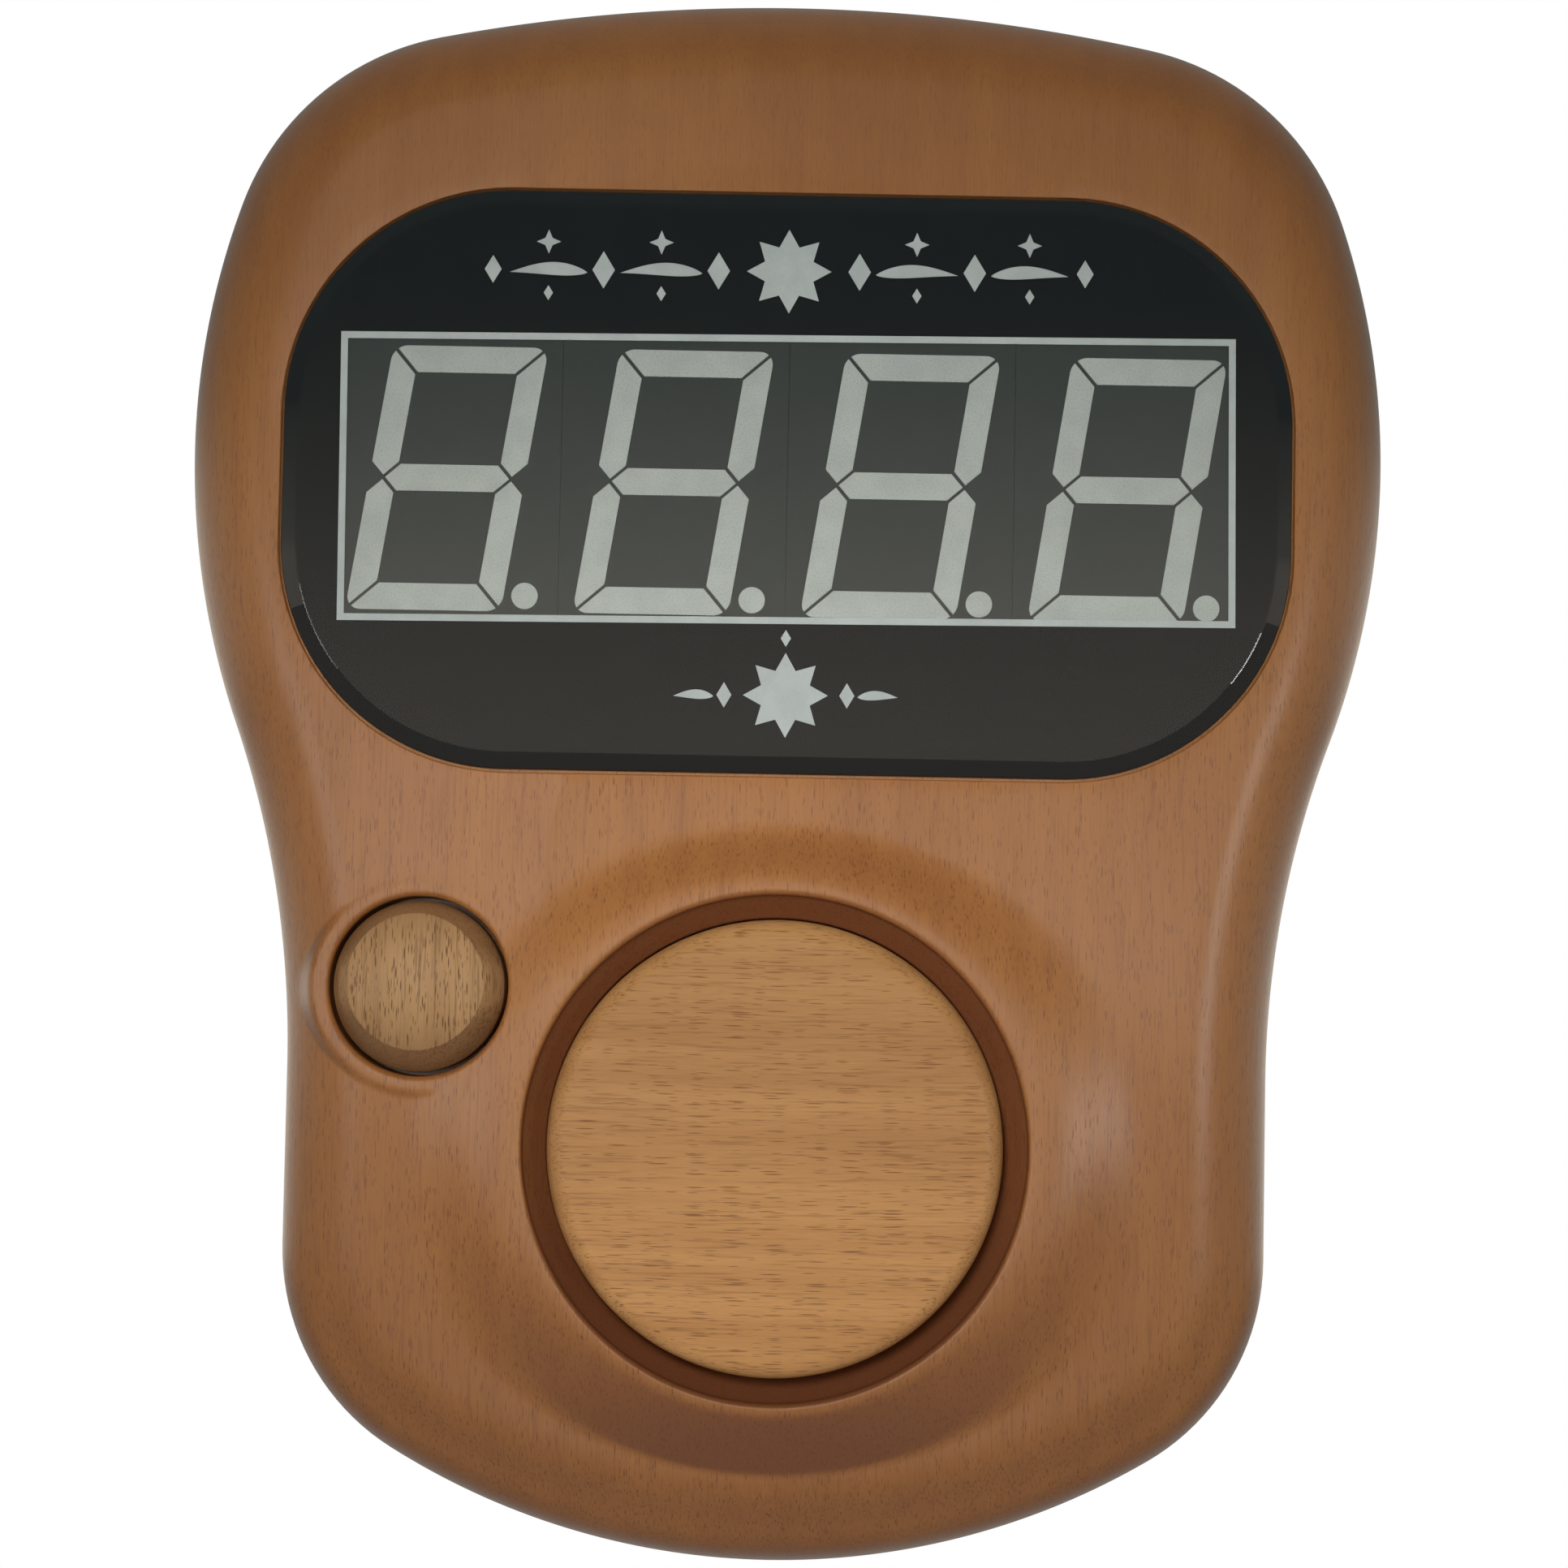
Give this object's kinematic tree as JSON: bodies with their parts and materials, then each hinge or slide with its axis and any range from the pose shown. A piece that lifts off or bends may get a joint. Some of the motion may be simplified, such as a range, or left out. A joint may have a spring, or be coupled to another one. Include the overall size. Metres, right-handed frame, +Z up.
{
  "type": "wall-hung digital counter",
  "caption": "Carved wooden wall counter with a rounded waist, a bevelled glass window over LED digits, a large round count button in a raised well and a small reset button beside it.",
  "frame": {"origin": "middle of the case outline, on the wall plane", "axes": "+Z up along the case height, +Y into the wall, the front faces -Y, +X to the right as seen on the wall"},
  "size_m": [0.257, 0.046, 0.335],
  "materials": {
    "stained_wood": "mid-brown stained beech, satin lacquer",
    "count_wood": "light honey beech, satin lacquer",
    "reset_wood": "light beech, satin lacquer",
    "cover_board": "hardboard, matt",
    "window_glass": "clear bevelled glass",
    "black_print": "black back print",
    "white_print": "white line",
    "bonding_tape": "black foam tape",
    "module_plastic": "dark grey, fine texture",
    "segment_resin": "diffusing resin, unlit",
    "contact_metal": "tinned",
    "circuit_board": "green solder mask",
    "brass": "turned brass",
    "zinc_steel": "zinc-plated steel",
    "hanger_steel": "zinc-plated steel",
    "spring_steel": "spring wire",
    "chip_plastic": "moulded black plastic",
    "capacitor_sleeve": "dark blue sleeve",
    "nylon": "natural nylon",
    "socket_plastic": "black plastic",
    "cable_sleeve": "dark grey sleeve"
  },
  "bodies": {
    "housing": {"wood_case": "stained_wood", "rear_cover": "cover_board", "cover_screws": "zinc_steel", "display_glass": "window_glass", "window_mask": "black_print", "frame_line": "white_print", "glass_tape": "bonding_tape", "digit_module_1": "module_plastic", "digit_module_2": "module_plastic", "digit_module_3": "module_plastic", "digit_module_4": "module_plastic", "digit_segments_1": "segment_resin", "digit_segments_2": "segment_resin", "digit_segments_3": "segment_resin", "digit_segments_4": "segment_resin", "module_pins": "contact_metal", "display_board": "circuit_board", "board_standoffs": "brass", "board_screws": "zinc_steel", "microcontroller": "chip_plastic", "driver_chips": "chip_plastic", "capacitors": "capacitor_sleeve", "wire_headers": "nylon", "count_springs": "spring_steel", "guide_bushes": "brass", "count_switch": "chip_plastic", "count_board": "circuit_board", "count_board_spacers": "nylon", "count_board_screws": "zinc_steel", "reset_spring": "spring_steel", "reset_switch": "chip_plastic", "reset_board": "circuit_board", "reset_board_spacers": "nylon", "reset_board_screws": "zinc_steel", "power_socket": "socket_plastic", "power_socket_pin": "contact_metal", "power_socket_nut": "zinc_steel", "hanger_plates": "hanger_steel", "hanger_screws": "zinc_steel", "count_cable": "cable_sleeve", "reset_cable": "cable_sleeve", "power_cable": "cable_sleeve"},
    "count_button": {"count_button": "count_wood", "count_guide_screws": "zinc_steel", "count_striker": "nylon", "count_switch_plunger": "nylon"},
    "reset_button": {"reset_button": "reset_wood", "reset_guide_screw": "zinc_steel", "reset_switch_plunger": "nylon"}
  },
  "joints": [
    {"name": "count_button_press", "type": "slide", "parent": "housing", "child": "count_button", "axis": [0, 1, 0], "range_m": [0, 0.003], "stiffness_N_per_m": 1200, "springref_m": -0.0025, "deforming": ["count_springs"]},
    {"name": "reset_button_press", "type": "slide", "parent": "housing", "child": "reset_button", "axis": [0, 1, 0], "range_m": [0, 0.0025], "stiffness_N_per_m": 500, "springref_m": -0.003, "deforming": ["reset_spring"]}
  ]
}
